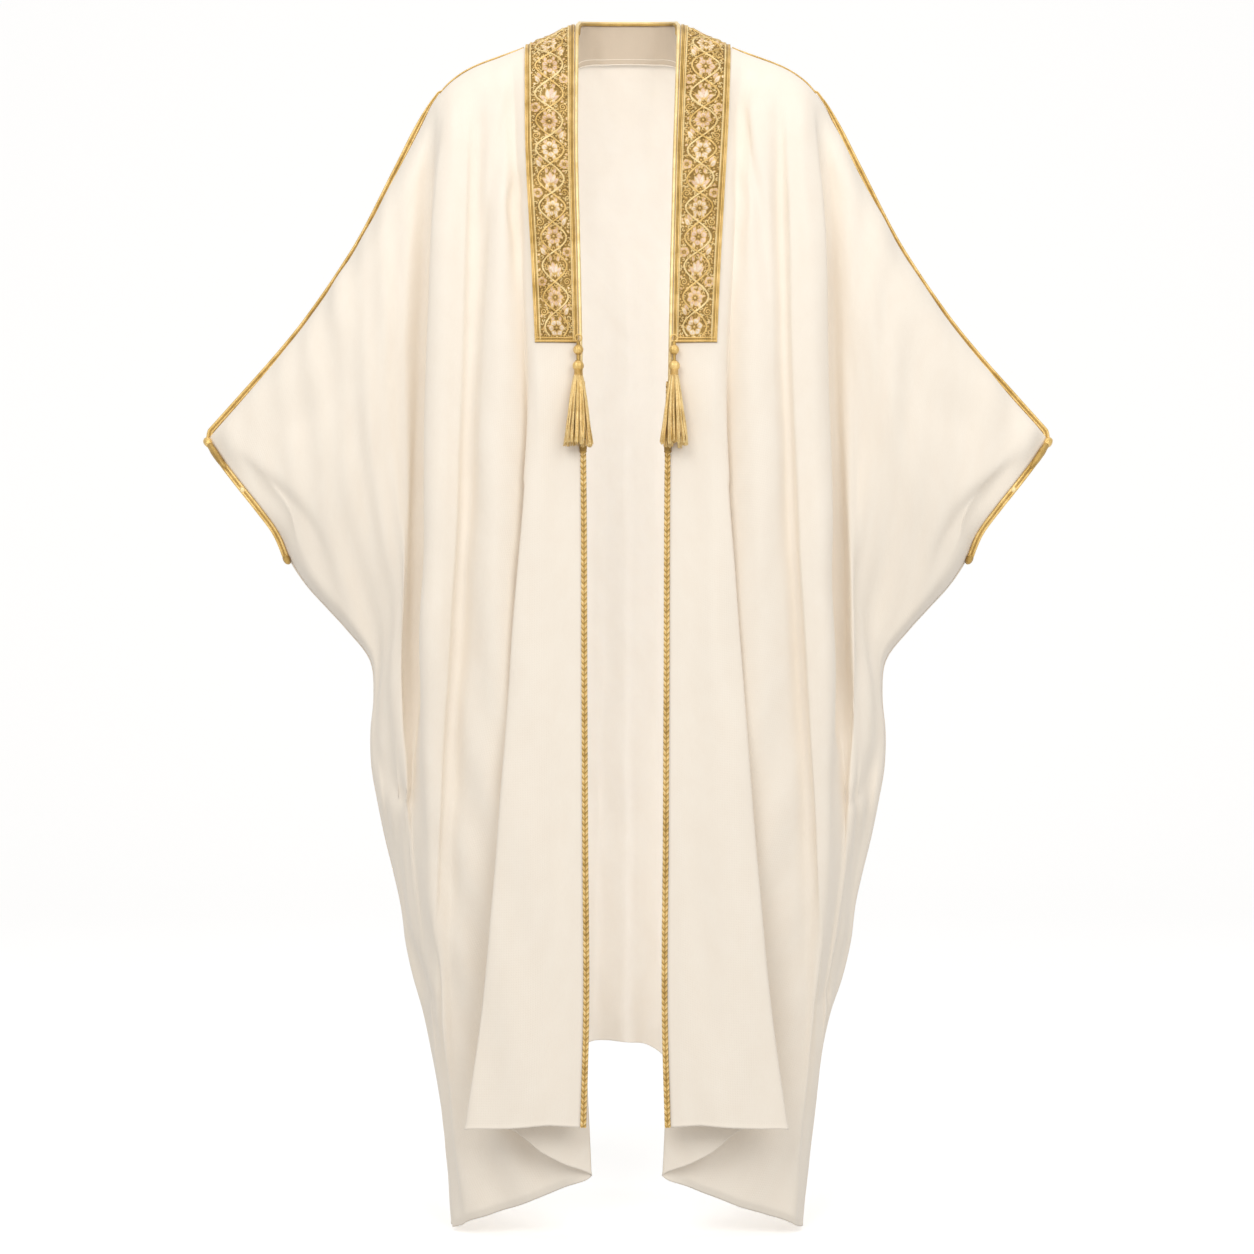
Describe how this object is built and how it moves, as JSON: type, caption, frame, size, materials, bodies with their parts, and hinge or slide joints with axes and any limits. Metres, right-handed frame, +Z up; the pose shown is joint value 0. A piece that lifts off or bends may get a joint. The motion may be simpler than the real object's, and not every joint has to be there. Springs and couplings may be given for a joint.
{
  "type": "abaya (open-front bisht cloak)",
  "caption": "Long open-front ivory cloak with wide sleeves, gold embroidered front bands, cord edging and tassels, filled out as worn.",
  "frame": {"origin": "midway between the two points where the shoulder seams meet the neck, where the garment is held", "axes": "+Z up, the wearer faces -Y, the wearer's left is +X"},
  "size_m": [1.0156, 0.3396, 1.4598],
  "materials": {
    "cloth": "matt ivory wool-silk suiting",
    "facing": "ivory satin strip",
    "embroidery": "raised gold thread on ivory",
    "gold_cord": "twisted gold thread cord",
    "tassel": "gold silk thread"
  },
  "bodies": {
    "root": {"right_front": "cloth", "left_front": "cloth", "back": "cloth", "neck_facing": "facing", "right_band": "embroidery", "left_band": "embroidery", "neck_cord": "gold_cord", "right_front_cord": "gold_cord", "left_front_cord": "gold_cord", "right_shoulder_piping": "gold_cord", "left_shoulder_piping": "gold_cord", "right_arm_cord": "gold_cord", "left_arm_cord": "gold_cord", "right_cuff_front_cord": "gold_cord", "left_cuff_front_cord": "gold_cord", "right_cuff_back_cord": "gold_cord", "left_cuff_back_cord": "gold_cord", "right_tassel": "tassel", "left_tassel": "tassel"}
  },
  "joints": []
}
